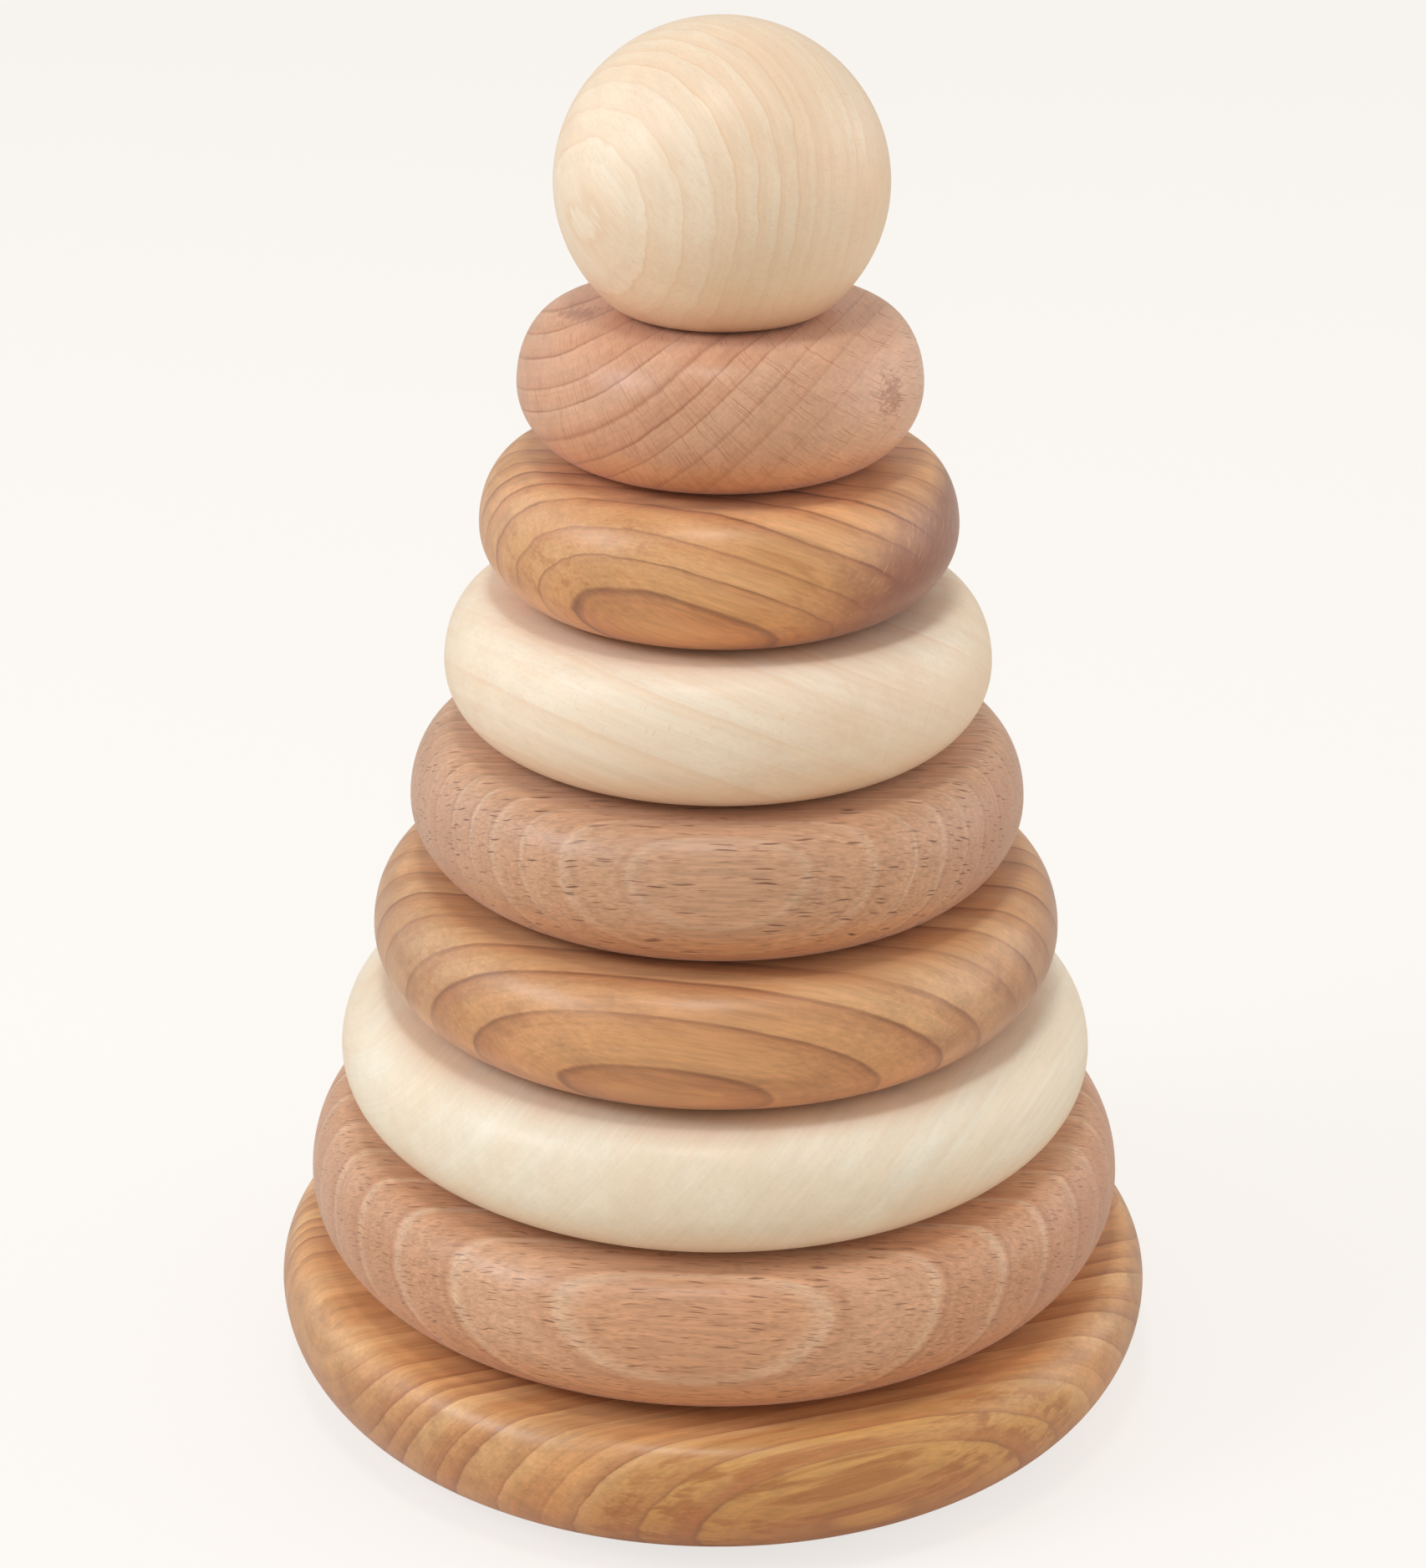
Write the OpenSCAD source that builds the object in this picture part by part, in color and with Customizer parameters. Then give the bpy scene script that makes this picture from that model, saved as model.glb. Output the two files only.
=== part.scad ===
// Wooden stacking tower: seven turned rings and a ball that lift off one peg
// standing in a round base. Lengths are in millimetres, +Z is up, and the origin
// is the middle of the base's underside.

/* [Base] */
// Diameter of the base disc
base_d = 130; // [125:1:150]
// Thickness of the base disc
base_t = 21; // [18:0.5:26]
// Height of the base's widest line above its underside
base_widest = 14; // [8:0.5:15]
// Width of the rounding on the base's top edge
base_top_round = 5; // [2:0.5:12]
// Width of the rounding on the base's lower edge
base_under_round = 14.5; // [4:0.5:20]

/* [Rings] */
// Outer diameter of each ring, from the lowest up
ring_d = [120, 110, 99.5, 88, 77.5, 67, 56]; // [50:0.5:125]
// Thickness of each ring, from the lowest up
ring_t = [21.5, 19, 19.5, 20.5, 20.5, 20, 20.5]; // [17:0.5:24]
// Width of the rounding on a ring's upper edge
ring_top_round = 7; // [3:0.5:12]
// Width of the rounding on a ring's lower edge
ring_under_round = 11; // [3:0.5:12]
// Diameter of the hole through each ring
ring_bore_d = 16; // [15:0.5:20]
// Size of the eased edge round each hole
bore_ease = 1; // [0.5:0.25:1.5]

/* [Ball] */
// Widest diameter of the ball on top
ball_d = 45.5; // [44.5:0.5:54]
// Height of the ball before its seat is cut, a little less than its width
ball_h = 44; // [42:0.5:54]
// Depth of the ball's flat seat below its centre
ball_seat = 17.5; // [15:0.5:18]
// Diameter of the blind hole in the ball
ball_bore_d = 15; // [14.5:0.25:17]
// Depth of the blind hole above the seat
ball_bore_depth = 24; // [22:0.5:26]

/* [Peg] */
// Diameter of the peg
peg_d = 14; // [10:0.5:14]
// Depth of the peg's glued seat in the base
peg_seat = 16; // [8:0.5:16]
// How far the peg reaches above the ball's seat
peg_reach = 21; // [12:0.5:21]
// Radius of the peg's rounded top edge
peg_round = 3; // [1:0.5:4]
// Size of the chamfer on the peg's lower end
peg_chamfer = 1; // [0.5:0.25:2]

/* [Hidden] */
ring_count = len(ring_d);
$fn = 120;

cherry = "#bd8550";
beech = "#c79c7b";
maple = "#ecdbb6";
// The three woods follow each other in this order from the base to the ball
woods = [cherry, beech, maple];

// Height of the underside of ring i, counted from 1; one past the last is the ball's seat
function ring_z(i) = i == 1 ? base_t : ring_z(i - 1) + ring_t[i - 2];
ball_seat_z = ring_z(ring_count + 1);
peg_foot_z = base_t - peg_seat;
peg_l = ball_seat_z + peg_reach - peg_foot_z;

// Quarter of an ellipse, w wide and h high, in the first quadrant
module quarter_ellipse(w, h) {
  intersection() {
    scale([w, h]) circle(r = 1);
    square([w, h]);
  }
}

// Half section of a turned disc that stands on z = 0 and is r wide at its widest line
module disc_section(r, t, widest, top_round, under_round) {
  square([r - under_round, widest]);
  translate([0, widest]) square([r - top_round, t - widest]);
  translate([r - top_round, widest]) quarter_ellipse(top_round, t - widest);
  translate([r - under_round, widest]) mirror([0, 1]) quarter_ellipse(under_round, widest);
}

// Half section of a through hole with both mouths eased
module eased_hole_section(r, t, ease) {
  polygon([[0, -1], [r + ease + 1, -1], [r, ease], [r, t - ease], [r + ease + 1, t + 1], [0, t + 1]]);
}

// Half section of a blind hole that opens downwards at z = 0
module blind_hole_section(r, depth, ease) {
  polygon([[0, -1], [r + ease + 1, -1], [r, ease], [r, depth], [0, depth]]);
}

module base() {
  color(woods[0])
  difference() {
    rotate_extrude()
      disc_section(base_d / 2, base_t, base_widest, base_top_round, base_under_round);
    translate([0, 0, peg_foot_z]) cylinder(d = peg_d, h = peg_seat + 1);
  }
}

module peg() {
  r = peg_d / 2;
  color(beech)
  translate([0, 0, peg_foot_z])
  rotate_extrude() {
    // Shank with a chamfered foot, up to where the top edge starts to round
    polygon([[0, 0], [r - peg_chamfer, 0], [r, peg_chamfer], [r, peg_l - peg_round], [0, peg_l - peg_round]]);
    square([r - peg_round, peg_l]);
    translate([r - peg_round, peg_l - peg_round]) quarter_ellipse(peg_round, peg_round);
  }
}

module ring(i) {
  t = ring_t[i - 1];
  color(woods[i % 3])
  translate([0, 0, ring_z(i)])
  rotate_extrude()
  difference() {
    disc_section(ring_d[i - 1] / 2, t, t / 2, ring_top_round, ring_under_round);
    eased_hole_section(ring_bore_d / 2, t, bore_ease);
  }
}

module ball() {
  color(woods[(ring_count + 1) % 3])
  translate([0, 0, ball_seat_z])
  rotate_extrude()
  difference() {
    intersection() {
      translate([0, ball_seat]) scale([ball_d / 2, ball_h / 2]) circle(r = 1);
      square([ball_d, ball_d]);
    }
    blind_hole_section(ball_bore_d / 2, ball_bore_depth, bore_ease);
  }
}

base();
peg();
for (i = [1:ring_count])
  ring(i);
ball();
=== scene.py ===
import math

import bpy
from mathutils import Matrix, Vector


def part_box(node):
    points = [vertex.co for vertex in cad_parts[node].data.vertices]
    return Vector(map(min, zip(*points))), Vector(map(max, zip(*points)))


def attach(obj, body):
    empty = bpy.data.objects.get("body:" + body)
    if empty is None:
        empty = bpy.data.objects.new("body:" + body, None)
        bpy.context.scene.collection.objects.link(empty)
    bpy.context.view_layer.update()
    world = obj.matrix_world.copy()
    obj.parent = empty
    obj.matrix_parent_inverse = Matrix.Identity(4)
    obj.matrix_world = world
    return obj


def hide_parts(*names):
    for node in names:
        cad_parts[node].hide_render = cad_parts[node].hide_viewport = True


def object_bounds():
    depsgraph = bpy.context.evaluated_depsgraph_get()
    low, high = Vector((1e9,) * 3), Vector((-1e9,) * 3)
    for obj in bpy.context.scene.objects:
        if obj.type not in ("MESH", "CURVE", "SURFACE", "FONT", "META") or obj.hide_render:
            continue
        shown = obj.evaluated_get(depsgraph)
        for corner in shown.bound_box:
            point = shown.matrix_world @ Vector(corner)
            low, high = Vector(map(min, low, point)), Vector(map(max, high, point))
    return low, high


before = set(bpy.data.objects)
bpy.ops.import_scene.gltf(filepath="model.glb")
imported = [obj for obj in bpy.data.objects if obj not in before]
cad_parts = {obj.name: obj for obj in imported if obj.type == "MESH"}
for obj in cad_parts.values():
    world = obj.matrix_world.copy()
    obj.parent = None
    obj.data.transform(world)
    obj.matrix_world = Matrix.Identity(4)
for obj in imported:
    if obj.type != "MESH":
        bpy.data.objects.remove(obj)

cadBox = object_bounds()
mm = 0.001

# ---- small helpers for node trees ----


def feed(tree, socket, value):
    if isinstance(value, bpy.types.NodeSocket):
        tree.links.new(value, socket)
    else:
        socket.default_value = value


def put(tree, kind, inputs=None, **settings):
    node = tree.nodes.new(kind)
    for key, value in settings.items():
        setattr(node, key, value)
    for key, value in (inputs or {}).items():
        feed(tree, node.inputs[key], value)
    return node


def calc(tree, operation, *values, clamp=False):
    node = put(tree, "ShaderNodeMath", operation=operation, use_clamp=clamp)
    for socket, value in zip(node.inputs, values):
        feed(tree, socket, value)
    return node.outputs[0]


def stretch(tree, vector, scale):  # vector times a scale for each axis
    node = put(tree, "ShaderNodeVectorMath", operation="MULTIPLY")
    feed(tree, node.inputs[0], vector)
    feed(tree, node.inputs[1], scale)
    return node.outputs[0]


def point(tree, x, y, z=0.0):
    return put(tree, "ShaderNodeCombineXYZ", {"X": x, "Y": y, "Z": z}).outputs[0]


def ease(tree, value, low, high, start=0.0, end=1.0):  # smooth step from start to end
    node = put(tree, "ShaderNodeMapRange", interpolation_type="SMOOTHSTEP")
    ends = {"Value": value, "From Min": low, "From Max": high, "To Min": start, "To Max": end}
    for name, amount in ends.items():
        feed(tree, node.inputs[name], amount)
    return node.outputs[0]


def noise(tree, vector, scale, detail=2.0, roughness=0.5, seed=0.0, distortion=0.0):
    node = put(tree, "ShaderNodeTexNoise", {"Vector": vector, "W": seed, "Scale": scale, "Detail": detail,
               "Roughness": roughness, "Distortion": distortion}, noise_dimensions="4D")
    return node.outputs["Fac"]


def span(tree, a, b):  # length of the slope over two sides
    return calc(tree, "SQRT", calc(tree, "ADD", calc(tree, "MULTIPLY", a, a), calc(tree, "MULTIPLY", b, b)))


def swing(tree, value, amount):  # a pattern about one half made to swing both ways about nothing
    return calc(tree, "MULTIPLY", calc(tree, "SUBTRACT", value, 0.5), amount)


def mixColour(tree, factor, a, b, blend="MIX"):
    node = put(tree, "ShaderNodeMix", data_type="RGBA", blend_type=blend)
    feed(tree, node.inputs[0], factor)
    feed(tree, node.inputs[6], a)
    feed(tree, node.inputs[7], b)
    return node.outputs[2]


def newGroup(name, kind, inputs, outputs):
    group = bpy.data.node_groups.new(name, kind)
    for label, socketKind, value in inputs:
        socket = group.interface.new_socket(label, in_out="INPUT", socket_type=socketKind)
        if value is not None:
            socket.default_value = value
    for label, socketKind in outputs:
        group.interface.new_socket(label, in_out="OUTPUT", socket_type=socketKind)
    start = group.nodes.new("NodeGroupInput")
    end = group.nodes.new("NodeGroupOutput")
    return group, start.outputs, end.inputs


def useGroup(tree, group, inputs):
    node = put(tree, "ShaderNodeGroup", node_tree=group)
    for key, value in inputs.items():
        feed(tree, node.inputs[key], value)
    return node.outputs


# ---- the turned shapes: one outline revolved about the peg's axis ----

lathe = dict(turnSteps=288, roundSteps=24, flatSteps=12, easeSteps=6, baseTopSteps=24, ballSteps=96,
             ballRimSteps=10, ballSeatSteps=5, pegEndSteps=6, pegChamferSteps=3, pegSideSteps=60,
             pegRoundSteps=12, outOfTrue=0.06 * mm, rail=1.0 * mm, weld=0.002 * mm)


def bow(tree, x, y, halfWidth, halfHeight, startAngle, steps):  # quarter of an ellipse about (x, y)
    arc = put(tree, "GeometryNodeCurveArc", {"Resolution": steps, "Radius": 1.0, "Start Angle": startAngle,
              "Sweep Angle": math.pi / 2}, mode="RADIUS")
    place = point(tree, x, y)
    size = point(tree, halfWidth, halfHeight, 1.0)
    move = put(tree, "GeometryNodeTransform", {"Geometry": arc.outputs["Curve"], "Translation": place,
               "Scale": size})
    return move.outputs[0]


def run(tree, x1, y1, x2, y2, steps=lathe["flatSteps"]):  # straight stretch of the outline
    line = put(tree, "GeometryNodeCurvePrimitiveLine",
               {"Start": point(tree, x1, y1), "End": point(tree, x2, y2)})
    split = put(tree, "GeometryNodeResampleCurve", {"Curve": line.outputs[0], "Count": steps})
    return split.outputs[0]


def newTurning(name, sizes):
    inputs = [(label, "NodeSocketFloat", 0.0) for label in sizes]
    inputs += [("Foot Height", "NodeSocketFloat", 0.0), ("Turn Steps", "NodeSocketInt", lathe["turnSteps"]),
               ("Out Of True", "NodeSocketFloat", lathe["outOfTrue"]), ("Seed", "NodeSocketFloat", 0.0),
               ("Finish", "NodeSocketMaterial", None)]
    return newGroup(name, "GeometryNodeTree", inputs, [("Geometry", "NodeSocketGeometry")])


def revolve(tree, given, result, stretches):
    joined = put(tree, "GeometryNodeJoinGeometry")
    for part in reversed(stretches):
        tree.links.new(part, joined.inputs[0])
    # Along the rail a curve's Y runs downwards, so the outline is turned over first
    outline = put(tree, "GeometryNodeTransform", {"Geometry": joined.outputs[0],
                  "Translation": (-lathe["rail"], 0, 0), "Scale": (1, -1, 1)})
    rail = put(tree, "GeometryNodeCurvePrimitiveCircle",
               {"Resolution": given["Turn Steps"], "Radius": lathe["rail"]})
    upright = put(tree, "GeometryNodeSetCurveNormal", {"Curve": rail.outputs["Curve"]}, mode="Z_UP")
    turned = put(tree, "GeometryNodeCurveToMesh",
                 {"Curve": upright.outputs[0], "Profile Curve": outline.outputs[0]})
    welded = put(tree, "GeometryNodeMergeByDistance",
                 {"Geometry": turned.outputs[0], "Distance": lathe["weld"]})
    outward = put(tree, "GeometryNodeFlipFaces", {"Mesh": welded.outputs[0]})
    place = put(tree, "GeometryNodeTransform", {"Geometry": outward.outputs[0],
                "Translation": point(tree, 0.0, 0.0, given["Foot Height"])})
    # Hand turning leaves a surface slightly out of true, always to the inside
    where = put(tree, "GeometryNodeInputPosition")
    normal = put(tree, "GeometryNodeInputNormal")
    uneven = noise(tree, where.outputs[0], 45.0, 1.0, 0.4, given["Seed"])
    depth = calc(tree, "MULTIPLY", calc(tree, "MULTIPLY", uneven, given["Out Of True"]), -1.0)
    inward = put(tree, "ShaderNodeVectorMath", operation="SCALE")
    tree.links.new(normal.outputs[0], inward.inputs[0])
    tree.links.new(depth, inward.inputs["Scale"])
    moved = put(tree, "GeometryNodeSetPosition", {"Geometry": place.outputs[0], "Offset": inward.outputs[0]})
    smooth = put(tree, "GeometryNodeSetShadeSmooth", {"Geometry": moved.outputs[0]})
    real = put(tree, "GeometryNodeRealizeInstances", {"Geometry": smooth.outputs[0]})
    done = put(tree, "GeometryNodeSetMaterial", {"Geometry": real.outputs[0], "Material": given["Finish"]})
    tree.links.new(done.outputs[0], result["Geometry"])


def makeRingTree():
    tree, given, result = newTurning("turnedRing", ["Radius", "Thickness", "Top Round", "Under Round",
                                                    "Bore Radius", "Bore Ease"])
    radius, thick, top, under, bore, soft = (given[i] for i in range(6))
    half = calc(tree, "MULTIPLY", thick, 0.5)
    topX = calc(tree, "SUBTRACT", radius, top)
    underX = calc(tree, "SUBTRACT", radius, under)
    mouth = calc(tree, "ADD", bore, soft)
    lip = calc(tree, "SUBTRACT", thick, soft)
    many, few = lathe["roundSteps"], lathe["easeSteps"]
    revolve(tree, given, result, [
        run(tree, mouth, 0.0, underX, 0.0),
        bow(tree, underX, half, under, half, -math.pi / 2, many),
        bow(tree, topX, half, top, half, 0.0, many),
        run(tree, topX, thick, mouth, thick),
        bow(tree, mouth, lip, soft, soft, math.pi / 2, few),
        run(tree, bore, lip, bore, soft),
        bow(tree, mouth, soft, soft, soft, math.pi, few)])
    return tree


def makeBaseTree():
    tree, given, result = newTurning("turnedBase", ["Radius", "Thickness", "Widest Line", "Top Round",
                                                    "Under Round", "Seat Radius", "Seat Depth"])
    radius, thick, widest, top, under, seat, depth = (given[i] for i in range(7))
    topX = calc(tree, "SUBTRACT", radius, top)
    underX = calc(tree, "SUBTRACT", radius, under)
    seatFloor = calc(tree, "SUBTRACT", thick, depth)
    many = lathe["roundSteps"]
    revolve(tree, given, result, [
        run(tree, 0.0, 0.0, underX, 0.0),
        bow(tree, underX, widest, under, widest, -math.pi / 2, many),
        bow(tree, topX, widest, top, calc(tree, "SUBTRACT", thick, widest), 0.0, many),
        run(tree, topX, thick, seat, thick, lathe["baseTopSteps"]),
        run(tree, seat, thick, seat, seatFloor),
        run(tree, seat, seatFloor, 0.0, seatFloor)])
    return tree


def makeBallTree():
    tree, given, result = newTurning("turnedBall", ["Radius", "Half Height", "Seat Depth", "Seat Edge",
                                                    "Bore Radius", "Bore Depth", "Bore Ease"])
    radius, half, seat, edge, bore, depth, soft = (given[i] for i in range(7))

    def acrossAt(height):  # the ball's radius at a height above its seat
        rise = calc(tree, "DIVIDE", calc(tree, "SUBTRACT", height, seat), half)
        return calc(tree, "MULTIPLY", radius, calc(tree, "SQRT", calc(tree, "SUBTRACT", 1.0,
                                                                       calc(tree, "MULTIPLY", rise, rise))))

    seatX = acrossAt(0.0)
    low = calc(tree, "MULTIPLY", edge, 0.6)
    lowAngle = calc(tree, "ARCSINE", calc(tree, "DIVIDE", calc(tree, "SUBTRACT", low, seat), half))
    sweep = calc(tree, "SUBTRACT", math.pi / 2, lowAngle)
    side = put(tree, "GeometryNodeCurveArc", {"Resolution": lathe["ballSteps"], "Radius": 1.0,
               "Start Angle": lowAngle, "Sweep Angle": sweep}, mode="RADIUS")
    sidePlaced = put(tree, "GeometryNodeTransform", {"Geometry": side.outputs["Curve"],
                     "Translation": point(tree, 0.0, seat), "Scale": point(tree, radius, half, 1.0)})
    flatX = calc(tree, "SUBTRACT", seatX, edge)
    rim = put(tree, "GeometryNodeCurveQuadraticBezier", {"Resolution": lathe["ballRimSteps"],
              "Start": point(tree, flatX, 0.0), "Middle": point(tree, seatX, 0.0),
              "End": point(tree, acrossAt(low), low)})
    mouth = calc(tree, "ADD", bore, soft)
    revolve(tree, given, result, [
        run(tree, mouth, 0.0, flatX, 0.0, lathe["ballSeatSteps"]),
        rim.outputs[0],
        sidePlaced.outputs[0],
        run(tree, 0.0, depth, bore, depth),
        run(tree, bore, depth, bore, soft),
        bow(tree, mouth, soft, soft, soft, math.pi, lathe["easeSteps"])])
    return tree


def makePegTree():
    tree, given, result = newTurning("turnedPeg", ["Radius", "Length", "Top Round", "Foot Chamfer"])
    radius, length, top, foot = (given[i] for i in range(4))
    topX = calc(tree, "SUBTRACT", radius, top)
    topY = calc(tree, "SUBTRACT", length, top)
    footX = calc(tree, "SUBTRACT", radius, foot)
    revolve(tree, given, result, [
        run(tree, 0.0, 0.0, footX, 0.0, lathe["pegEndSteps"]),
        run(tree, footX, 0.0, radius, foot, lathe["pegChamferSteps"]),
        run(tree, radius, foot, radius, topY, lathe["pegSideSteps"]),
        bow(tree, topX, topY, top, top, 0.0, lathe["pegRoundSteps"]),
        run(tree, topX, length, 0.0, length, lathe["pegEndSteps"])])
    return tree


def turnPiece(name, tree, sizes, node, body, finish, seed):
    mesh = bpy.data.meshes.new(name)
    piece = bpy.data.objects.new(name, mesh)
    bpy.context.scene.collection.objects.link(piece)
    shape = piece.modifiers.new("turning", "NODES")
    shape.node_group = tree
    values = dict(sizes)
    values["Foot Height"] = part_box(node)[0][2]
    values["Seed"] = float(seed)
    values["Finish"] = finish
    for item in tree.interface.items_tree:
        if item.in_out == "INPUT" and item.name in values:
            shape[item.identifier] = values[item.name]
    graph = bpy.context.evaluated_depsgraph_get()
    solid = bpy.data.meshes.new_from_object(piece.evaluated_get(graph))
    piece.modifiers.remove(shape)
    piece.data = solid
    bpy.data.meshes.remove(mesh)
    solid.name = name
    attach(piece, body)
    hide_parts(node)
    return piece


# ---- wood: patterns in a board's own space, in millimetres, with its grain along X from the pith ----


def makeGrowthGroup():
    group, given, result = newGroup("growthLayers", "ShaderNodeTree", [
        ("Board", "NodeSocketVector", None), ("Year", "NodeSocketFloat", 3.0),
        ("Phase", "NodeSocketFloat", 0.0),
        ("Wander", "NodeSocketFloat", 1.0), ("Ripple", "NodeSocketFloat", 0.15),
        ("Uneven", "NodeSocketFloat", 0.35), ("Late Start", "NodeSocketFloat", 0.35),
        ("Steady", "NodeSocketFloat", 0.0), ("Heart", "NodeSocketFloat", 0.1),
        ("Seed", "NodeSocketFloat", 0.0)],
        [("Late", "NodeSocketFloat"), ("Line", "NodeSocketFloat"), ("Spring", "NodeSocketFloat"),
         ("Tone", "NodeSocketFloat"), ("Stripes", "NodeSocketFloat"), ("Radius", "NodeSocketFloat")])
    axes = put(group, "ShaderNodeSeparateXYZ", {"Vector": given["Board"]}).outputs
    across = span(group, axes["Y"], axes["Z"])
    broad = noise(group, stretch(group, given["Board"], (0.4, 1, 1)), 0.028, 1.0, 0.45, given["Seed"])
    fine = noise(group, stretch(group, given["Board"], (0.22, 1, 1)), 0.3, 3.0, 0.6, given["Seed"])
    wander = swing(group, broad, calc(group, "MULTIPLY", given["Wander"], 4.0))
    ripple = swing(group, fine, calc(group, "MULTIPLY", given["Ripple"], 4.0))
    depth = calc(group, "ADD", across, calc(group, "ADD", wander, ripple))
    years = calc(group, "ADD", calc(group, "DIVIDE", depth, given["Year"]), given["Phase"])
    # No two years grow the same width
    drift = noise(group, point(group, years, 0.0, 0.0), 0.55, 1.0, 0.5, given["Seed"])
    years = calc(group, "ADD", years, swing(group, drift, calc(group, "MULTIPLY", given["Uneven"], 4.0)))
    part = calc(group, "FRACT", years)
    # Some years mark the wood more than others, and every line fades here and there
    year = calc(group, "ADD", calc(group, "FLOOR", years), given["Seed"])
    vigour = put(group, "ShaderNodeTexWhiteNoise", {"W": year}, noise_dimensions="1D").outputs["Value"]
    fading = noise(group, stretch(group, given["Board"], (0.3, 1, 1)), 0.09, 2.0, 0.6,
                   calc(group, "ADD", given["Seed"], 5.0))
    changing = calc(group, "MULTIPLY", ease(group, vigour, 0.0, 1.0, 0.45, 1.0),
                    ease(group, fading, 0.3, 0.6, 0.35, 1.0))
    # The lines are faint near the pith
    heartWood = ease(group, calc(group, "DIVIDE", depth, given["Heart"]), 0.4, 1.0, 0.12, 1.0)
    strength = calc(group, "MULTIPLY", calc(group, "MAXIMUM", changing, given["Steady"]), heartWood)
    stop = ease(group, part, 0.93, 1.0, 1.0, 0.0)
    late = calc(group, "MULTIPLY", ease(group, part, given["Late Start"], 1.0), stop)
    line = calc(group, "MULTIPLY", ease(group, part, 0.83, 0.94), stop)
    spring = calc(group, "MULTIPLY", ease(group, part, 0.0, 0.04), ease(group, part, 0.06, 0.22, 1.0, 0.0))
    tone = noise(group, point(group, years, 0.0, 7.0), 0.9, 1.0, 0.6, given["Seed"])
    stripes = noise(group, point(group, calc(group, "MULTIPLY", depth, 1.5), 0.0, 3.0), 1.0, 2.0, 0.6,
                    given["Seed"])
    group.links.new(stripes, result["Stripes"])
    group.links.new(depth, result["Radius"])
    group.links.new(calc(group, "MULTIPLY", spring, strength), result["Spring"])
    group.links.new(calc(group, "MULTIPLY", late, strength), result["Late"])
    group.links.new(calc(group, "MULTIPLY", line, strength), result["Line"])
    group.links.new(tone, result["Tone"])
    return group


def makeFibreGroup():
    group, given, result = newGroup("woodFibre", "ShaderNodeTree", [
        ("Board", "NodeSocketVector", None), ("Length", "NodeSocketFloat", 12.0),
        ("Width", "NodeSocketFloat", 0.35), ("Seed", "NodeSocketFloat", 0.0)],
        [("Streak", "NodeSocketFloat")])
    along = calc(group, "DIVIDE", 1.0, given["Length"])
    across = calc(group, "DIVIDE", 1.0, given["Width"])
    drawn = stretch(group, given["Board"], point(group, along, across, across))
    streak = noise(group, drawn, 0.5, 3.0, 0.6, given["Seed"], 0.3)
    group.links.new(streak, result["Streak"])
    return group


def makeRayGroup():  # rays: thin sheets of cells that run outwards from the pith
    group, given, result = newGroup("woodRays", "ShaderNodeTree", [
        ("Board", "NodeSocketVector", None), ("Pith Distance", "NodeSocketFloat", 60.0),
        ("Height", "NodeSocketFloat", 3.5), ("Width", "NodeSocketFloat", 0.35),
        ("Depth", "NodeSocketFloat", 14.0), ("Gap Along", "NodeSocketFloat", 1.6),
        ("Gap Across", "NodeSocketFloat", 3.0), ("Seed", "NodeSocketFloat", 0.0)],
        [("Fleck", "NodeSocketFloat")])
    frayed = noise(group, stretch(group, given["Board"], (0.35, 1, 1)), 0.45, 1.0, 0.5, given["Seed"])
    axes = put(group, "ShaderNodeSeparateXYZ", {"Vector": given["Board"]}).outputs
    across = span(group, axes["Y"], axes["Z"])
    turn = calc(group, "MULTIPLY", calc(group, "ARCTAN2", axes["Z"], axes["Y"]), given["Pith Distance"])
    turn = calc(group, "ADD", turn, swing(group, frayed, 1.2))
    cellX = calc(group, "MULTIPLY", given["Height"], given["Gap Along"])
    cellY = calc(group, "MULTIPLY", given["Width"], given["Gap Across"])
    cellZ = calc(group, "MULTIPLY", given["Depth"], 1.3)
    shifted = calc(group, "ADD", calc(group, "DIVIDE", axes["X"], cellX),
                   calc(group, "MULTIPLY", given["Seed"], 7.3))
    cells = point(group, shifted, calc(group, "DIVIDE", turn, cellY), calc(group, "DIVIDE", across, cellZ))
    nearest = put(group, "ShaderNodeTexVoronoi", {"Vector": cells, "Scale": 1.0, "Randomness": 0.9},
                  voronoi_dimensions="3D", feature="F1")
    away = put(group, "ShaderNodeVectorMath", {0: cells, 1: nearest.outputs["Position"]},
               operation="SUBTRACT")
    grown = stretch(group, away.outputs[0], point(group, calc(group, "MULTIPLY", given["Gap Along"], 2.0),
                                                  calc(group, "MULTIPLY", given["Gap Across"], 2.0), 2.6))
    size = put(group, "ShaderNodeVectorMath", {0: grown}, operation="LENGTH").outputs["Value"]
    inside = ease(group, size, 0.45, 1.05, 1.0, 0.0)
    chance = put(group, "ShaderNodeSeparateColor", {"Color": nearest.outputs["Color"]}).outputs[0]
    strength = ease(group, chance, 0.0, 1.0, 0.1, 1.0)
    group.links.new(calc(group, "MULTIPLY", inside, strength), result["Fleck"])
    return group


def makeEndGrainGroup():  # where the surface cuts across the fibres, at the grain's far and near ends
    group, given, result = newGroup("endGrain", "ShaderNodeTree", [
        ("Normal", "NodeSocketVector", None), ("Fibre", "NodeSocketVector", None),
        ("Board", "NodeSocketVector", None), ("From", "NodeSocketFloat", 0.5),
        ("To", "NodeSocketFloat", 0.95),
        ("Seed", "NodeSocketFloat", 0.0)],
        [("Far End", "NodeSocketFloat"), ("Near End", "NodeSocketFloat")])
    facing = put(group, "ShaderNodeVectorMath", {0: given["Normal"], 1: given["Fibre"]},
                 operation="DOT_PRODUCT")
    ragged = noise(group, given["Board"], 0.11, 4.0, 0.65, given["Seed"])
    torn = swing(group, ragged, 0.5)
    far = calc(group, "ADD", facing.outputs["Value"], torn)
    near = calc(group, "SUBTRACT", torn, facing.outputs["Value"])
    group.links.new(ease(group, far, given["From"], given["To"]), result["Far End"])
    group.links.new(ease(group, near, given["From"], given["To"]), result["Near End"])
    return group


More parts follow.
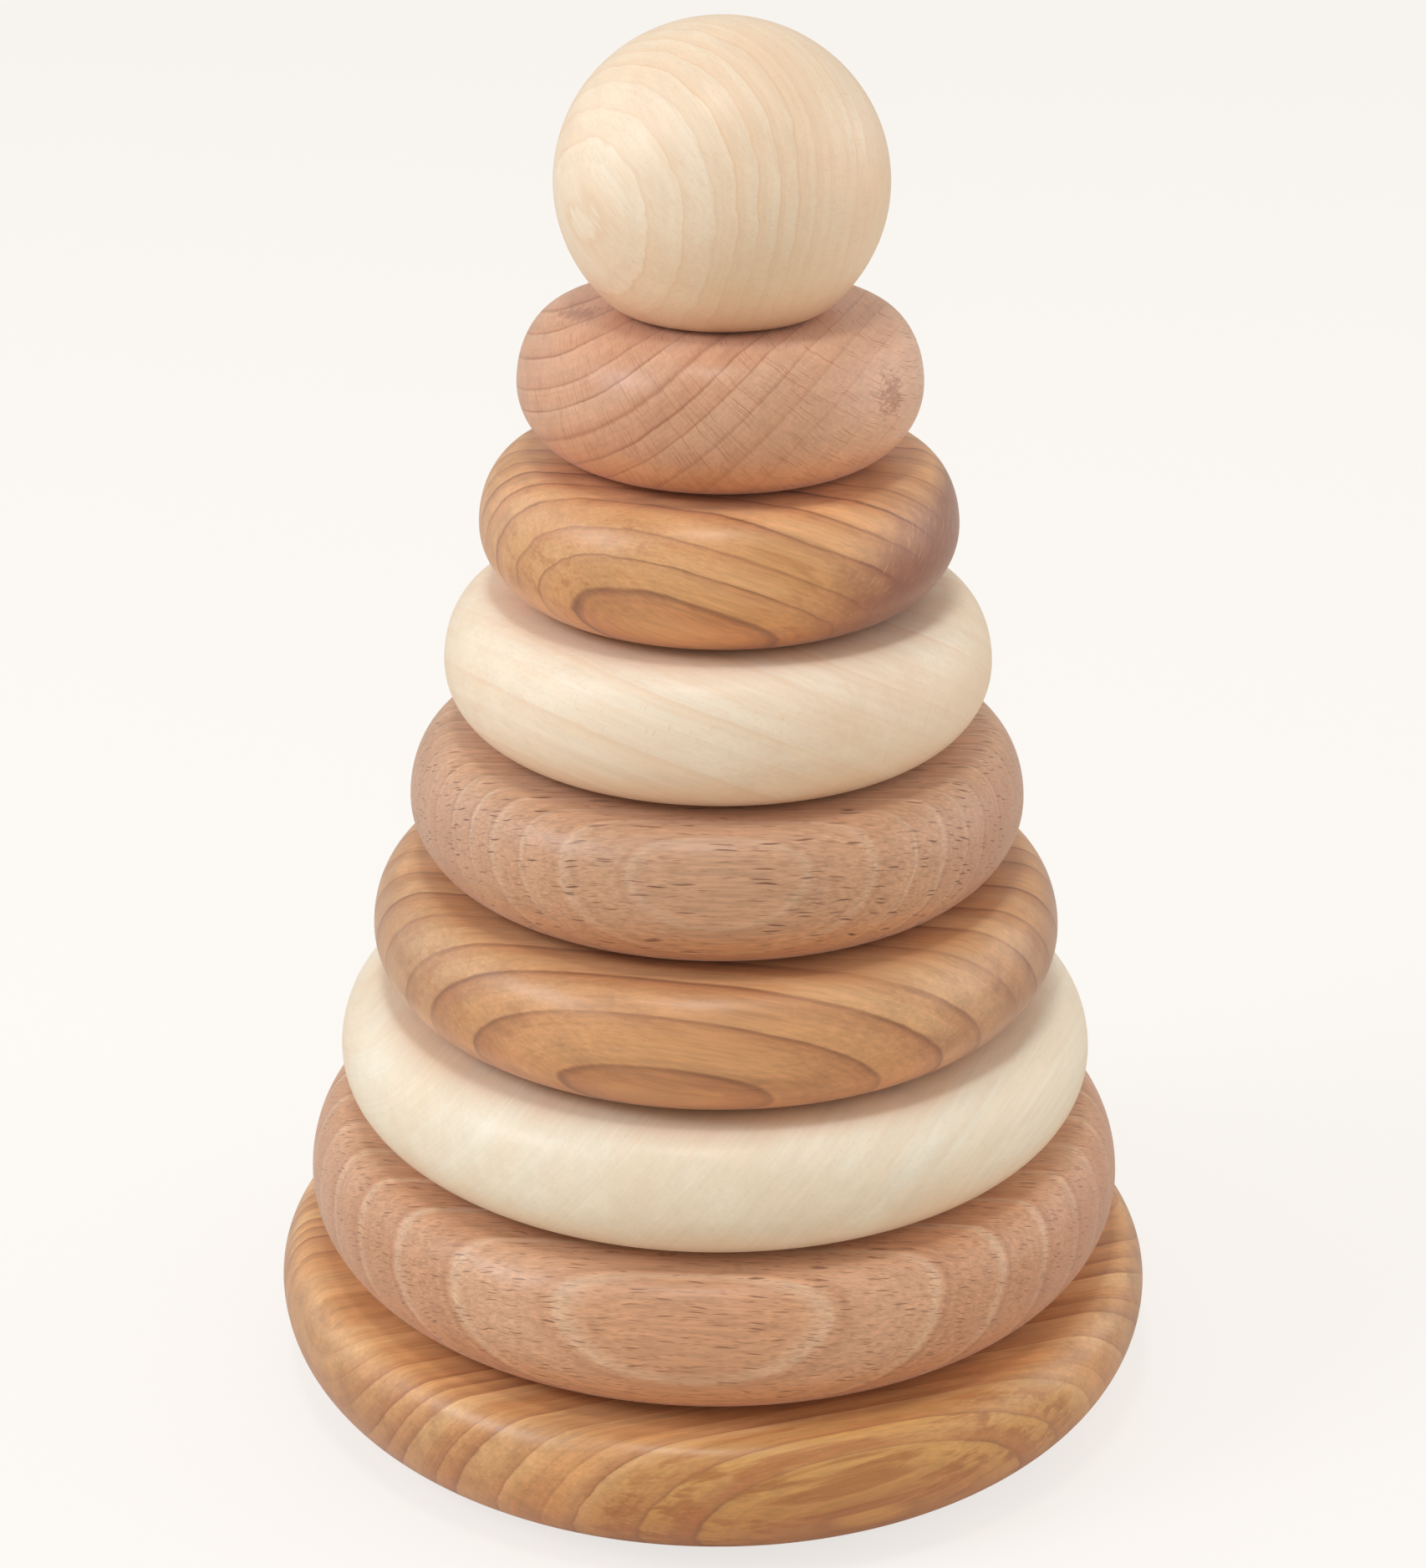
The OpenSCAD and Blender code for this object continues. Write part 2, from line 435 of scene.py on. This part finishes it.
def makeTurningGroup():  # faint circles left by the gouge and the sandpaper
    group, given, result = newGroup("turningMarks", "ShaderNodeTree", [
        ("Object", "NodeSocketVector", None), ("Pitch", "NodeSocketFloat", 0.5),
        ("Seed", "NodeSocketFloat", 0.0)], [("Mark", "NodeSocketFloat")])
    axes = put(group, "ShaderNodeSeparateXYZ", {"Vector": given["Object"]}).outputs
    out = span(group, axes["X"], axes["Y"])
    turn = calc(group, "ARCTAN2", axes["Y"], axes["X"])
    perPitch = calc(group, "DIVIDE", 1000.0, given["Pitch"])
    across = calc(group, "MULTIPLY", out, perPitch)
    up = calc(group, "MULTIPLY", axes["Z"], perPitch)
    path = point(group, across, up, calc(group, "MULTIPLY", turn, 0.8))
    group.links.new(noise(group, path, 1.0, 2.0, 0.6, given["Seed"]), result["Mark"])
    return group


shared = dict(growth=makeGrowthGroup(), fibre=makeFibreGroup(), rays=makeRayGroup(),
              endGrain=makeEndGrainGroup(), turning=makeTurningGroup())


# What the three woods share: ray sheets, sanding marks, the thin oil, the relief that light catches and the
# tint of the shade painted under each piece
skin = dict(rayReach=30, markPitch=0.45, grooves=0.7, scratches=0.3, pits=0.4, reliefDepth=0.05 * mm,
            smoother=0.04, rougher=0.09, index=1.46, coatRoughness=0.33, sheenRoughness=0.45,
            sheenTint=(0.88, 0.9, 1.0, 1), warmTint=(1.0, 0.8, 0.58, 1))
knotShape = dict(ragged=3.0, core=0.2, edge=1.1, darkness=0.6)


def startWood(name, board, centre):
    material = bpy.data.materials.new(name)
    material.use_nodes = True
    tree = material.node_tree
    tree.nodes.clear()
    fibre = Vector(board["fibre"]).normalized()
    pith = centre + Vector(board["pith"]) * mm
    turned = Vector((1, 0, 0)).rotation_difference(fibre).to_euler()
    coords = put(tree, "ShaderNodeTexCoord")
    place = put(tree, "ShaderNodeMapping", {"Vector": coords.outputs["Object"], "Location": pith,
                "Rotation": turned, "Scale": (mm, mm, mm)}, vector_type="TEXTURE")
    seed = float(board["seed"])
    boardSpace = place.outputs[0]
    growth = useGroup(tree, shared["growth"], {
        "Board": boardSpace, "Year": board["year"], "Phase": board.get("phase", 0.0),
        "Wander": board.get("wander", 0.5), "Ripple": board.get("ripple", 0.15),
        "Uneven": board.get("uneven", 0.3), "Late Start": board.get("lateStart", 0.3),
        "Steady": board.get("steady", 0.0), "Heart": board.get("heart", 0.1), "Seed": seed})

    def fibres(length, width, shift):
        return useGroup(tree, shared["fibre"], {"Board": boardSpace, "Length": length, "Width": width,
                        "Seed": seed + shift})["Streak"]

    ends = useGroup(tree, shared["endGrain"], {"Normal": coords.outputs["Normal"], "Fibre": fibre,
                    "Board": boardSpace, "From": board.get("endFrom", 0.5), "To": board.get("endTo", 0.95),
                    "Seed": seed})
    marks = useGroup(tree, shared["turning"], {"Object": coords.outputs["Object"], "Pitch": skin["markPitch"],
                     "Seed": seed})["Mark"]
    blotch = noise(tree, stretch(tree, boardSpace, (0.35, 1, 1)), 0.055, 2.0, 0.5, seed + 11)
    slope = put(tree, "ShaderNodeSeparateXYZ", {"Vector": coords.outputs["Normal"]}).outputs["Z"]
    # Painted shade by slope: darker and warmer where the surface turns down, and, where a board asks, tan
    # blotches laid only where it faces up, so the top is painted darker
    under = ease(tree, slope, -0.75, 0.25, 1.0, 0.0)
    crown = calc(tree, "MULTIPLY", ease(tree, slope, 0.2, 0.9), ease(tree, blotch, 0.35, 0.6, 0.45, 1.0))
    farEnd = calc(tree, "MULTIPLY", ends["Far End"], board.get("farEnd", 0.5))
    nearEnd = calc(tree, "MULTIPLY", ends["Near End"], board.get("nearEnd", 0.3))
    reach = Vector(board["pith"]).length + skin["rayReach"]
    return dict(material=material, tree=tree, board=boardSpace, object=coords.outputs["Object"],
                growth=growth, wideFibre=fibres(45.0, 2.6, 2), longFibre=fibres(22.0, 0.9, 0),
                shortFibre=fibres(3.2, 0.2, 3), end=calc(tree, "MAXIMUM", farEnd, nearEnd), marks=marks,
                blotch=blotch, under=under, crown=crown, seed=seed, reach=reach,
                tint=board.get("tint", (1, 1, 1)))


def rays(wood, height, width, depth, gapAlong, gapAcross, seed):
    return useGroup(wood["tree"], shared["rays"], {
        "Board": wood["board"], "Pith Distance": wood["reach"], "Height": height, "Width": width,
        "Depth": depth, "Gap Along": gapAlong, "Gap Across": gapAcross, "Seed": wood["seed"] + seed})["Fleck"]


def toward(wood, colour, mask, amount, target):  # colour drawn toward a target where a mask says
    tree = wood["tree"]
    return mixColour(tree, calc(tree, "MULTIPLY", mask, amount, clamp=True), colour, target)


def shade(wood, colour, value, low, high, start, end):  # colour times a grey that runs from start to end
    tree = wood["tree"]
    grey = ease(tree, value, low, high, start, end)
    tone = put(tree, "ShaderNodeCombineColor", {"Red": grey, "Green": grey, "Blue": grey}).outputs[0]
    return mixColour(tree, 1.0, colour, tone, "MULTIPLY")


def knots(wood, places):  # small dark marks with ragged edges, each at a place (m) and with a size (mm)
    tree = wood["tree"]
    masks = 0.0
    for place, size in places:
        away = put(tree, "ShaderNodeVectorMath", {0: wood["object"], 1: place}, operation="DISTANCE")
        reach = calc(tree, "DIVIDE", away.outputs["Value"], size * mm)
        torn = swing(tree, wood["shortFibre"], knotShape["ragged"])
        dark = ease(tree, calc(tree, "ADD", reach, torn), knotShape["core"], knotShape["edge"], 1.0, 0.0)
        masks = calc(tree, "ADD", masks, dark, clamp=True)
    return masks


def finishWood(wood, colour, pits, finish):
    tree = wood["tree"]
    tinted = mixColour(tree, 1.0, colour, (*wood["tint"], 1), "MULTIPLY")
    # Painted shade: the colour is drawn darker and warmer where the surface turns down
    paintedUnderShadeAmount = calc(tree, "MULTIPLY", wood["under"], finish["warmth"])
    tinted = mixColour(tree, paintedUnderShadeAmount, tinted, skin["warmTint"], "MULTIPLY")
    rough = ease(tree, wood["shortFibre"], 0.25, 0.75, finish["roughness"] - skin["smoother"],
                 finish["roughness"] + skin["rougher"])
    grooves = calc(tree, "MULTIPLY", wood["shortFibre"], skin["grooves"])
    scratches = calc(tree, "MULTIPLY", wood["marks"], skin["scratches"])
    relief = calc(tree, "SUBTRACT", calc(tree, "ADD", grooves, scratches),
                  calc(tree, "MULTIPLY", pits, skin["pits"]))
    bump = put(tree, "ShaderNodeBump", {"Strength": finish["relief"], "Distance": skin["reliefDepth"],
                                        "Height": relief})
    shader = put(tree, "ShaderNodeBsdfPrincipled", {"Base Color": tinted, "Roughness": rough,
                 "Normal": bump.outputs[0]})
    shader.inputs["IOR"].default_value = skin["index"]
    shader.inputs["Coat Weight"].default_value = finish["oil"]
    # Sanded fibres catch the light toward the edges
    shader.inputs["Sheen Weight"].default_value = finish["sheen"]
    shader.inputs["Sheen Roughness"].default_value = skin["sheenRoughness"]
    shader.inputs["Sheen Tint"].default_value = skin["sheenTint"]
    shader.inputs["Coat Roughness"].default_value = skin["coatRoughness"]
    put(tree, "ShaderNodeOutputMaterial", {"Surface": shader.outputs[0]})
    return wood["material"]


beech = dict(early=(0.72, 0.405, 0.24, 1), late=(0.60, 0.29, 0.155, 1), line=(0.36, 0.125, 0.055, 1),
             pale=(0.82, 0.54, 0.37, 1), spring=(0.82, 0.58, 0.41, 1), fleck=(0.17, 0.05, 0.02, 1),
             tick=(0.36, 0.11, 0.045, 1), end=(0.52, 0.22, 0.125, 1), roughness=0.42, relief=0.5, oil=0.4,
             warmth=0.9, sheen=0.25)


def makeBeech(name, board, centre):
    wood = startWood(name, board, centre)
    tree, growth = wood["tree"], wood["growth"]
    bigRays = rays(wood, board.get("fleckLength", 3.2), board.get("fleckWidth", 0.28),
                   board.get("fleckDepth", 1.5), 1.2, 2.6, 0)
    smallRays = rays(wood, board.get("tickLength", 1.6), 0.13, board.get("fleckDepth", 1.5), 1.1, 2.0, 5)
    colour = toward(wood, beech["early"], growth["Late"], board.get("late", 0.8), beech["late"])
    colour = toward(wood, colour, ease(tree, growth["Tone"], 0.4, 0.7), board.get("pale", 0.5), beech["pale"])
    colour = toward(wood, colour, growth["Line"], board.get("line", 0.4), beech["line"])
    colour = toward(wood, colour, growth["Spring"], board.get("spring", 0.4), beech["spring"])
    if "paleFrom" in board:  # paler wood outside this distance from the pith
        outer = ease(tree, growth["Radius"], board["paleFrom"], board["paleFrom"] + 20.0)
        colour = toward(wood, colour, outer, 0.8, beech["pale"])
    colour = shade(wood, colour, wood["blotch"], 0.3, 0.7, 0.95, 1.05)
    colour = shade(wood, colour, growth["Stripes"], 0.3, 0.7, 0.96, 1.04)
    colour = shade(wood, colour, wood["longFibre"], 0.3, 0.7, 0.94, 1.05)
    grain = board.get("grain", 1.0)
    colour = shade(wood, colour, wood["shortFibre"], 0.3, 0.7, 1.0 - 0.16 * grain, 1.0 + 0.12 * grain)
    colour = toward(wood, colour, wood["end"], 1.0, beech["end"])
    if "knots" in board:
        places = [(centre + Vector(knot[:3]) * mm, knot[3]) for knot in board["knots"]]
        colour = toward(wood, colour, knots(wood, places), knotShape["darkness"], beech["line"])
    colour = toward(wood, colour, smallRays, board.get("ticks", 0.4), beech["tick"])
    colour = toward(wood, colour, bigRays, board.get("flecks", 0.8), beech["fleck"])
    return finishWood(wood, colour, bigRays, beech)


cherry = dict(early=(0.76, 0.40, 0.175, 1), late=(0.50, 0.205, 0.085, 1), line=(0.21, 0.085, 0.04, 1),
              pale=(0.82, 0.52, 0.27, 1), gold=(0.73, 0.41, 0.14, 1), orange=(0.41, 0.165, 0.05, 1),
              umber=(0.40, 0.19, 0.09, 1), end=(0.27, 0.10, 0.06, 1), roughness=0.38, relief=0.45, oil=0.5,
              warmth=0.9, sheen=0.2)


def makeCherry(name, board, centre):
    wood = startWood(name, board, centre)
    tree, growth = wood["tree"], wood["growth"]
    sheen = rays(wood, 0.9, 0.16, 2.5, 1.4, 2.6, 0)
    colour = toward(wood, cherry["early"], ease(tree, growth["Tone"], 0.42, 0.7), 0.7, cherry["pale"])
    colour = toward(wood, colour, ease(tree, wood["wideFibre"], 0.45, 0.7), board.get("umber", 0.35),
                    cherry["umber"])
    if "goldFrom" in board:  # sapwood outside this distance from the pith
        golden = ease(tree, growth["Radius"], board["goldFrom"], board["goldFrom"] + 3.0)
    else:
        golden = ease(tree, wood["blotch"], 0.42, 0.62)
    colour = toward(wood, colour, golden, board.get("gold", 0.4), cherry["gold"])
    strokes = calc(tree, "MULTIPLY", ease(tree, wood["longFibre"], 0.44, 0.62), golden)
    colour = toward(wood, colour, strokes, board.get("strokes", 0.4), cherry["orange"])
    colour = toward(wood, colour, growth["Late"], board.get("late", 0.8), cherry["late"])
    colour = toward(wood, colour, growth["Line"], board.get("line", 0.55), cherry["line"])
    colour = shade(wood, colour, growth["Stripes"], 0.3, 0.7, 0.93, 1.06)
    colour = shade(wood, colour, wood["longFibre"], 0.3, 0.7, 0.9, 1.08)
    colour = shade(wood, colour, wood["shortFibre"], 0.3, 0.7, 0.9, 1.08)
    colour = toward(wood, colour, wood["end"], 1.0, cherry["end"])
    dashes = calc(tree, "MULTIPLY", sheen, ease(tree, wood["end"], 0.1, 0.6, 0.25, 1.0))
    colour = toward(wood, colour, dashes, 0.55, cherry["pale"])
    return finishWood(wood, colour, sheen, cherry)


maple = dict(early=(0.94, 0.80, 0.61, 1), late=(0.87, 0.63, 0.41, 1), line=(0.74, 0.44, 0.24, 1),
             pale=(0.95, 0.87, 0.71, 1), tan=(0.88, 0.63, 0.41, 1), end=(0.86, 0.68, 0.47, 1),
             roughness=0.42, relief=0.4, oil=0.3, warmth=0.25, sheen=0.08)


def makeMaple(name, board, centre):
    wood = startWood(name, board, centre)
    tree, growth = wood["tree"], wood["growth"]
    sheen = rays(wood, 0.45, 0.12, 4.0, 1.25, 2.2, 0)
    colour = toward(wood, maple["early"], ease(tree, growth["Tone"], 0.4, 0.7), 0.6, maple["pale"])
    colour = toward(wood, colour, ease(tree, wood["blotch"], 0.45, 0.75), board.get("tan", 0.4), maple["tan"])
    # Tan blotches laid only where the surface faces up: partly the maple's own tone, partly painted shade
    # that darkens the top
    colour = toward(wood, colour, wood["crown"], board.get("crown", 0.0), maple["tan"])
    colour = toward(wood, colour, growth["Late"], board.get("late", 0.5), maple["late"])
    colour = toward(wood, colour, growth["Line"], board.get("line", 0.3), maple["line"])
    grain = board.get("grain", 0.3)
    colour = toward(wood, colour, ease(tree, wood["wideFibre"], 0.4, 0.75), 0.35 * grain, maple["tan"])
    colour = toward(wood, colour, ease(tree, wood["shortFibre"], 0.4, 0.75), 0.45 * grain, maple["tan"])
    colour = shade(wood, colour, growth["Stripes"], 0.3, 0.7, 0.97, 1.02)
    colour = shade(wood, colour, wood["longFibre"], 0.3, 0.7, 0.97, 1.02)
    colour = toward(wood, colour, wood["end"], 1.0, maple["end"])
    colour = toward(wood, colour, sheen, board.get("dashes", 0.2), maple["line"])
    return finishWood(wood, colour, sheen, maple)


# ---- the boards that the pieces were turned from ----

# Each has its grain's direction, where the pith lies (mm from the piece's centre) and a year's width (mm).
# A least-squares fit to seen growth lines gave the grain and pith of every board but ring_2 and the peg,
# which were chosen one by one. The base's grain was then turned a little

boards = {
    "base": dict(wood="cherry", fibre=(0.948, 0.305, 0.095), pith=(0.6, -11.1, 21.2), year=3.6, seed=1,
                 gold=0.75, goldFrom=46.0, strokes=0.85, line=0.35, late=0.95, lateStart=0.1, umber=0.45,
                 uneven=0.5, wander=0.8, heart=16.0, tint=(1.03, 1.01, 0.96)),
    "ring_1": dict(wood="beech", fibre=(0.998, -0.056, -0.011), pith=(4.2, 88.2, -65.6), year=6.6, seed=2,
                   late=0.6, line=0.2, spring=1.0, uneven=0.0, phase=0.67, wander=0.3, steady=0.75,
                   ticks=0.6, flecks=0.7, fleckLength=3.4, fleckWidth=0.2, tint=(0.93, 0.88, 0.86)),
    "ring_2": dict(wood="maple", fibre=(0.45, 0.87, 0.173), pith=(-110, 35, 110), year=5.5, seed=3,
                   late=0.3, line=0.0, tan=0.5, grain=0.65, nearEnd=0.1, dashes=0.1,
                   tint=(1.02, 1.11, 1.24)),
    "ring_3": dict(wood="cherry", fibre=(0.986, -0.056, -0.16), pith=(-7.3, -71.9, -19.9), year=6.1, seed=4,
                   gold=0.15, umber=0.45, line=0.7, late=0.9, steady=0.3, tint=(0.98, 0.97, 1.03)),
    "ring_4": dict(wood="beech", fibre=(1.0, 0.009, -0.006), pith=(-0.9, 68.2, -41.8), year=3.3, seed=5,
                   late=0.5, line=0.25, pale=0.25, spring=0.7, steady=0.45, ticks=0.55, flecks=0.9,
                   fleckLength=4.4, tint=(0.9, 0.92, 0.97)),
    "ring_5": dict(wood="maple", fibre=(0.913, -0.316, -0.259), pith=(-61.5, -71.5, -129.3), year=3.8,
                   seed=6, late=0.45, line=0.15, tan=0.5, grain=0.9, tint=(1.05, 1.08, 1.18)),
    "ring_6": dict(wood="cherry", fibre=(0.934, 0.063, -0.351), pith=(-3.4, -41.1, -16.4), year=4.2, seed=7,
                   gold=0.45, farEnd=1.0, nearEnd=0.1, endFrom=0.2, endTo=0.75, line=0.95, late=0.9,
                   steady=0.4, lateStart=0.35, umber=0.55, strokes=0.6, ripple=0.3,
                   tint=(1.11, 1.09, 1.17)),
    "ring_7": dict(wood="beech", fibre=(0.196, 0.958, -0.211), pith=(-25.5, 11.6, 28.8), year=3.5, seed=8,
                   flecks=0.25, ticks=0.8, tickLength=4.0, fleckDepth=7.0, late=0.9, line=0.7, spring=0.2,
                   steady=0.6, knots=((22.6, -15.5, 3.0, 3.2), (-18.9, -3.6, 9.3, 3.6)), paleFrom=42.0,
                   grain=0.5, nearEnd=0.1, tint=(1.01, 0.96, 1.01)),
    "ball": dict(wood="maple", fibre=(0.524, -0.571, -0.632), pith=(34.5, 26.7, 4.5), year=2.4, seed=9,
                 ripple=0.4, wander=0.9, crown=0.5, tan=0.9, late=0.7, lateStart=0.1, line=0.35, grain=1.1,
                 dashes=0.35, tint=(1.07, 1.1, 1.19)),
    "peg": dict(wood="beech", fibre=(0.02, 0.03, 1.0), pith=(40, 30, 0), year=2.6, seed=10),
}
makers = dict(beech=makeBeech, cherry=makeCherry, maple=makeMaple)


def finishFor(node):
    low, high = (Vector(corner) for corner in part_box(node))
    board = boards[node]
    return makers[board["wood"]](node + "Wood", board, (low + high) / 2)


def halfWidth(node):
    low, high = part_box(node)
    return (high[0] - low[0]) / 2


def tallness(node):
    low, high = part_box(node)
    return high[2] - low[2]


ringNames = sorted(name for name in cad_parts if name.startswith("ring_"))
pegRadius = halfWidth("peg")

ringShape = dict(topRound=7 * mm, underRound=11 * mm, boreRadius=pegRadius + 1 * mm, boreEase=1 * mm)
ringTree = makeRingTree()
for index, node in enumerate(ringNames):
    turnPiece("turned" + node.title().replace("_", ""), ringTree, {
        "Radius": halfWidth(node), "Thickness": tallness(node), "Top Round": ringShape["topRound"],
        "Under Round": ringShape["underRound"], "Bore Radius": ringShape["boreRadius"],
        "Bore Ease": ringShape["boreEase"]}, node, node, finishFor(node), index + 1)
print("rings turned:", len(ringNames))

baseShape = dict(widest=14 * mm, topRound=5 * mm, underRound=14.5 * mm, seed=20)
turnPiece("turnedBase", makeBaseTree(), {
    "Radius": halfWidth("base"), "Thickness": tallness("base"), "Widest Line": baseShape["widest"],
    "Top Round": baseShape["topRound"], "Under Round": baseShape["underRound"], "Seat Radius": pegRadius,
    "Seat Depth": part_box("base")[1][2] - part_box("peg")[0][2]}, "base", "base",
    finishFor("base"), baseShape["seed"])
print("base turned")

ballShape = dict(seat=17.5 * mm, seatEdge=2.4 * mm, boreRadius=pegRadius + 0.5 * mm, boreDepth=24 * mm,
                 boreEase=1 * mm, seed=30)
turnPiece("turnedBall", makeBallTree(), {
    "Radius": halfWidth("ball"), "Half Height": tallness("ball") - ballShape["seat"],
    "Seat Depth": ballShape["seat"], "Seat Edge": ballShape["seatEdge"],
    "Bore Radius": ballShape["boreRadius"], "Bore Depth": ballShape["boreDepth"],
    "Bore Ease": ballShape["boreEase"]}, "ball", "ball", finishFor("ball"),
    ballShape["seed"])
print("ball turned")

pegShape = dict(topRound=3 * mm, footChamfer=1 * mm, seed=40)
turnPiece("turnedPeg", makePegTree(), {
    "Radius": pegRadius, "Length": tallness("peg"), "Top Round": pegShape["topRound"],
    "Foot Chamfer": pegShape["footChamfer"]}, "peg", "base", finishFor("peg"),
    pegShape["seed"])
print("peg turned")

# ---- floor, light and camera ----

floorLook = dict(size=60.0, drop=0.0002, paper=(0.25, 0.245, 0.235, 1), glow=(0.745, 0.728, 0.71, 1),
                 bounce=(0.72, 0.66, 0.59, 1))


def makeFloorPaper():  # the camera sees pale lit paper, and every other ray meets plain paper
    material = bpy.data.materials.new("palePaper")
    material.use_nodes = True
    tree = material.node_tree
    tree.nodes.clear()
    lit = put(tree, "ShaderNodeBsdfDiffuse", {"Color": floorLook["paper"]})
    glow = put(tree, "ShaderNodeEmission", {"Color": floorLook["glow"]})
    seen = put(tree, "ShaderNodeAddShader", {0: lit.outputs[0], 1: glow.outputs[0]})
    bounce = put(tree, "ShaderNodeBsdfDiffuse", {"Color": floorLook["bounce"]})
    camera = put(tree, "ShaderNodeLightPath").outputs["Is Camera Ray"]
    either = put(tree, "ShaderNodeMixShader", {0: camera, 1: bounce.outputs[0], 2: seen.outputs[0]})
    put(tree, "ShaderNodeOutputMaterial", {"Surface": either.outputs[0]})
    return material


def makeFloor():
    half = floorLook["size"] / 2
    mesh = bpy.data.meshes.new("floor")
    low = cadBox[0][2] - floorLook["drop"]
    corners = [(-half, -half, low), (half, -half, low), (half, half, low), (-half, half, low)]
    mesh.from_pydata(corners, [], [(0, 1, 2, 3)])
    floor = bpy.data.objects.new("floor", mesh)
    bpy.context.scene.collection.objects.link(floor)
    mesh.materials.append(makeFloorPaper())


makeFloor()

studio = dict(sky=(1.0, 0.91, 0.77, 1), skyStrength=0.565)
lamps = {  # where each soft box hangs, how wide it is, and its power
    "windowLight": dict(place=(-0.97, -0.43, 0.93), size=0.48, power=5.0, colour=(0.84, 0.93, 1.0)),
    "overheadLight": dict(place=(-0.1, -0.4, 1.45), size=0.2, power=3.4, colour=(1.0, 0.98, 0.95)),
    "leftLight": dict(place=(-1.6, 0.35, 0.55), size=1.6, power=6.0, colour=(0.86, 0.94, 1.0)),
    "rightLight": dict(place=(1.6, 0.2, 0.5), size=1.6, power=8.5, colour=(0.97, 0.98, 1.0)),
}


def makeLights():
    world = bpy.data.worlds.new("studio")
    bpy.context.scene.world = world
    world.use_nodes = True
    sky = world.node_tree.nodes["Background"]
    sky.inputs["Color"].default_value = studio["sky"]
    sky.inputs["Strength"].default_value = studio["skyStrength"]
    aim = Vector((0, 0, cadBox[1][2] / 2))
    for name, lamp in lamps.items():
        light = bpy.data.lights.new(name, "AREA")
        light.size = lamp["size"]
        light.energy = lamp["power"]
        light.color = lamp["colour"]
        hung = bpy.data.objects.new(name, light)
        hung.location = lamp["place"]
        hung.rotation_euler = (aim - Vector(lamp["place"])).to_track_quat("-Z", "Y").to_euler()
        bpy.context.scene.collection.objects.link(hung)


makeLights()

view = dict(tilt=22.18, distance=0.499, aim=(-0.00067, 0.0, 0.104), lens=53.57, roll=0.434, shiftY=-0.0505)


def makeCamera():
    camera = bpy.data.cameras.new("camera")
    camera.sensor_fit = "VERTICAL"
    camera.sensor_height = 24.0
    camera.lens = view["lens"]
    camera.shift_y = view["shiftY"]
    held = bpy.data.objects.new("camera", camera)
    tilt = math.radians(view["tilt"])
    aim = Vector(view["aim"])
    held.location = aim + Vector((0, -math.cos(tilt), math.sin(tilt))) * view["distance"]
    look = (aim - held.location).to_track_quat("-Z", "Y").to_matrix().to_4x4()
    turn = look.to_3x3().col[2]
    held.rotation_euler = (Matrix.Rotation(math.radians(view["roll"]), 4, turn) @ look).to_euler()
    bpy.context.scene.collection.objects.link(held)
    bpy.context.scene.camera = held


makeCamera()
bpy.context.scene.view_settings.view_transform = "Standard"
print("stage lit")
